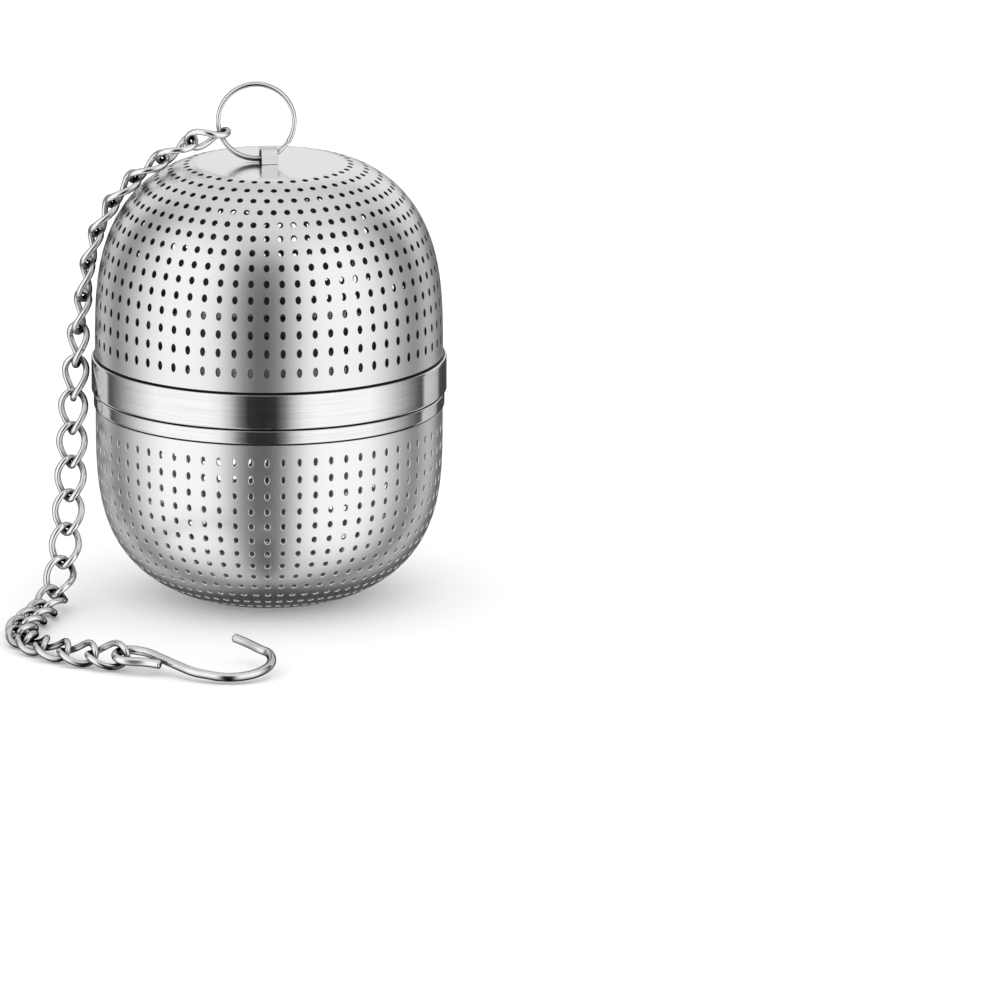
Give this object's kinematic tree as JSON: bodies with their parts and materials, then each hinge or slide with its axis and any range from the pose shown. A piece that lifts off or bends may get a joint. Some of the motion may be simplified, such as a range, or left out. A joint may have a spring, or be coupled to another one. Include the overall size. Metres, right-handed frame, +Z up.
{
  "type": "tea infuser",
  "caption": "Screw-top tea infuser ball of perforated steel, with an eyelet, a split ring and a curb chain that ends in a cup hook.",
  "frame": {"origin": "centre of the bowl's flat base", "axes": "+Z up along the screw axis, -X towards the side that the chain hangs on, -Y towards the side that the hook lies on"},
  "size_m": [0.0616, 0.0769, 0.0738],
  "materials": {
    "satin_steel": "satin",
    "brushed_steel": "brushed round its axis",
    "bright_steel": "polished"
  },
  "bodies": {
    "bowl": {"bowl_cup": "satin_steel", "neck_ring": "brushed_steel"},
    "lid": {"lid_dome": "satin_steel"},
    "lid_collar": {"lid_collar": "brushed_steel", "eyelet": "satin_steel"},
    "split_ring": {"split_ring": "bright_steel"},
    "link_01": {"chain_link_01": "bright_steel"},
    "link_02": {"chain_link_02": "bright_steel"},
    "link_03": {"chain_link_03": "bright_steel"},
    "link_04": {"chain_link_04": "bright_steel"},
    "link_05": {"chain_link_05": "bright_steel"},
    "link_06": {"chain_link_06": "bright_steel"},
    "link_07": {"chain_link_07": "bright_steel"},
    "link_08": {"chain_link_08": "bright_steel"},
    "link_09": {"chain_link_09": "bright_steel"},
    "link_10": {"chain_link_10": "bright_steel"},
    "link_11": {"chain_link_11": "bright_steel"},
    "link_12": {"chain_link_12": "bright_steel"},
    "link_13": {"chain_link_13": "bright_steel"},
    "link_14": {"chain_link_14": "bright_steel"},
    "link_15": {"chain_link_15": "bright_steel"},
    "link_16": {"chain_link_16": "bright_steel"},
    "link_17": {"chain_link_17": "bright_steel"},
    "link_18": {"chain_link_18": "bright_steel"},
    "link_19": {"chain_link_19": "bright_steel"},
    "link_20": {"chain_link_20": "bright_steel"},
    "link_21": {"chain_link_21": "bright_steel"},
    "link_22": {"chain_link_22": "bright_steel"},
    "link_23": {"chain_link_23": "bright_steel"},
    "link_24": {"chain_link_24": "bright_steel"},
    "link_25": {"chain_link_25": "bright_steel"},
    "hook": {"hook": "bright_steel"}
  },
  "joints": [
    {"name": "lid_lift", "type": "slide", "parent": "bowl", "child": "lid", "axis": [0, 0, 1], "range_m": [0, 0.012]},
    {"name": "lid_turn", "type": "hinge", "parent": "lid", "child": "lid_collar", "pos_m": [0, 0, 0.0322], "axis": [0, 0, 1], "range_deg": [0, 1800]},
    {"name": "ring_tilt", "type": "hinge", "parent": "lid_collar", "child": "split_ring", "pos_m": [0, 0, 0.06308], "axis": [1, 0, 0], "range_deg": [-35, 42]},
    {"name": "link_01_swing", "type": "hinge", "parent": "split_ring", "child": "link_01", "pos_m": [-0.0062, 0, 0.06651], "axis": [-0.1334, -0.8516, 0.5069], "range_deg": [-18, 0]},
    {"name": "link_02_swing", "type": "hinge", "parent": "link_01", "child": "link_02", "pos_m": [-0.01079, 0, 0.0653], "axis": [-0.5079, 0.1779, 0.8429], "range_deg": [0, 12]},
    {"name": "link_03_swing", "type": "hinge", "parent": "link_02", "child": "link_03", "pos_m": [-0.01486, 0, 0.06285], "axis": [0.0073, 0.9999, -0.0103], "range_deg": [0, 22]},
    {"name": "link_04_swing", "type": "hinge", "parent": "link_03", "child": "link_04", "pos_m": [-0.01874, 0, 0.06012], "axis": [0.7435, 0.0062, -0.6687], "range_deg": [-22, 22]},
    {"name": "link_05_swing", "type": "hinge", "parent": "link_04", "child": "link_05", "pos_m": [-0.02192, 0, 0.05658], "axis": [0, -1, 0], "range_deg": [-22, 0]},
    {"name": "link_06_swing", "type": "hinge", "parent": "link_05", "child": "link_06", "pos_m": [-0.02415, 0, 0.05239], "axis": [-0.9631, 0.0011, 0.2692], "range_deg": [-22, 22]},
    {"name": "link_07_swing", "type": "hinge", "parent": "link_06", "child": "link_07", "pos_m": [-0.02543, 0, 0.04782], "axis": [-0.0021, 1, -0.0011], "range_deg": [0, 22]},
    {"name": "link_08_swing", "type": "hinge", "parent": "link_07", "child": "link_08", "pos_m": [-0.02604, -0.00001, 0.04311], "axis": [0.9773, 0.1412, -0.1577], "range_deg": [-18, 22]},
    {"name": "link_09_swing", "type": "hinge", "parent": "link_08", "child": "link_09", "pos_m": [-0.02676, -0.00024, 0.03842], "axis": [0.4296, -0.9023, 0.0365], "range_deg": [-22, 1]},
    {"name": "link_10_swing", "type": "hinge", "parent": "link_09", "child": "link_10", "pos_m": [-0.02709, -0.00058, 0.03369], "axis": [-0.7212, -0.6787, 0.1388], "range_deg": [-22, 8]},
    {"name": "link_11_swing", "type": "hinge", "parent": "link_10", "child": "link_11", "pos_m": [-0.0275, -0.0011, 0.02899], "axis": [-0.8467, 0.5306, -0.0391], "range_deg": [-13, 22]},
    {"name": "link_12_swing", "type": "hinge", "parent": "link_11", "child": "link_12", "pos_m": [-0.0277, -0.00177, 0.02429], "axis": [0.3762, 0.9115, -0.1665], "range_deg": [-13, 22]},
    {"name": "link_13_swing", "type": "hinge", "parent": "link_12", "child": "link_13", "pos_m": [-0.02784, -0.00257, 0.01961], "axis": [0.9646, -0.2638, -0.0028], "range_deg": [-22, 22]},
    {"name": "link_14_swing", "type": "hinge", "parent": "link_13", "child": "link_14", "pos_m": [-0.02812, -0.00353, 0.01497], "axis": [-0.1605, -0.9552, 0.2486], "range_deg": [-22, 22]},
    {"name": "link_15_swing", "type": "hinge", "parent": "link_14", "child": "link_15", "pos_m": [-0.02846, -0.00467, 0.01037], "axis": [-0.9889, 0.1329, 0.0669], "range_deg": [-22, 22]},
    {"name": "link_16_swing", "type": "hinge", "parent": "link_15", "child": "link_16", "pos_m": [-0.02897, -0.00615, 0.00589], "axis": [0.1528, 0.7312, -0.6648], "range_deg": [-19, 17]},
    {"name": "link_17_swing", "type": "hinge", "parent": "link_16", "child": "link_17", "pos_m": [-0.02998, -0.00916, 0.00235], "axis": [0.9601, -0.2795, 0.0053], "range_deg": [-13, 22]},
    {"name": "link_18_swing", "type": "hinge", "parent": "link_17", "child": "link_18", "pos_m": [-0.03127, -0.01362, 0.00133], "axis": [-0.0027, -0.0093, 1], "range_deg": [-22, 22]},
    {"name": "link_19_swing", "type": "hinge", "parent": "link_18", "child": "link_19", "pos_m": [-0.03257, -0.01818, 0.00128], "axis": [-0.9539, 0.3, 0], "range_deg": [-22, 22]},
    {"name": "link_20_swing", "type": "hinge", "parent": "link_19", "child": "link_20", "pos_m": [-0.034, -0.02271, 0.0013], "axis": [-0.0029, 0.0017, -1], "range_deg": [-22, 22]},
    {"name": "link_21_swing", "type": "hinge", "parent": "link_20", "child": "link_21", "pos_m": [-0.0346, -0.02743, 0.00129], "axis": [0.9811, 0.1921, 0.0248], "range_deg": [-22, 22]},
    {"name": "link_22_swing", "type": "hinge", "parent": "link_21", "child": "link_22", "pos_m": [-0.03369, -0.03209, 0.00134], "axis": [-0.1197, -0.0398, 0.992], "range_deg": [-22, 16]},
    {"name": "link_23_swing", "type": "hinge", "parent": "link_22", "child": "link_23", "pos_m": [-0.03137, -0.03623, 0.00146], "axis": [-0.6743, -0.6834, -0.2798], "range_deg": [-18, 20]},
    {"name": "link_24_swing", "type": "hinge", "parent": "link_23", "child": "link_24", "pos_m": [-0.02803, -0.0396, 0.00163], "axis": [0.31, 0.3702, -0.8757], "range_deg": [-16, 22]},
    {"name": "link_25_swing", "type": "hinge", "parent": "link_24", "child": "link_25", "pos_m": [-0.02411, -0.04228, 0.00189], "axis": [0.2611, 0.7131, 0.6507], "range_deg": [-22, 18]},
    {"name": "hook_swing", "type": "hinge", "parent": "link_25", "child": "hook", "pos_m": [-0.01975, -0.04414, 0.00217], "axis": [0, -0.1736, 0.9848], "range_deg": [-80, 36]}
  ],
  "couplings": [
    {"joint": "lid_lift", "follows": "lid_turn", "m_per_rad": 0.00038197}
  ]
}
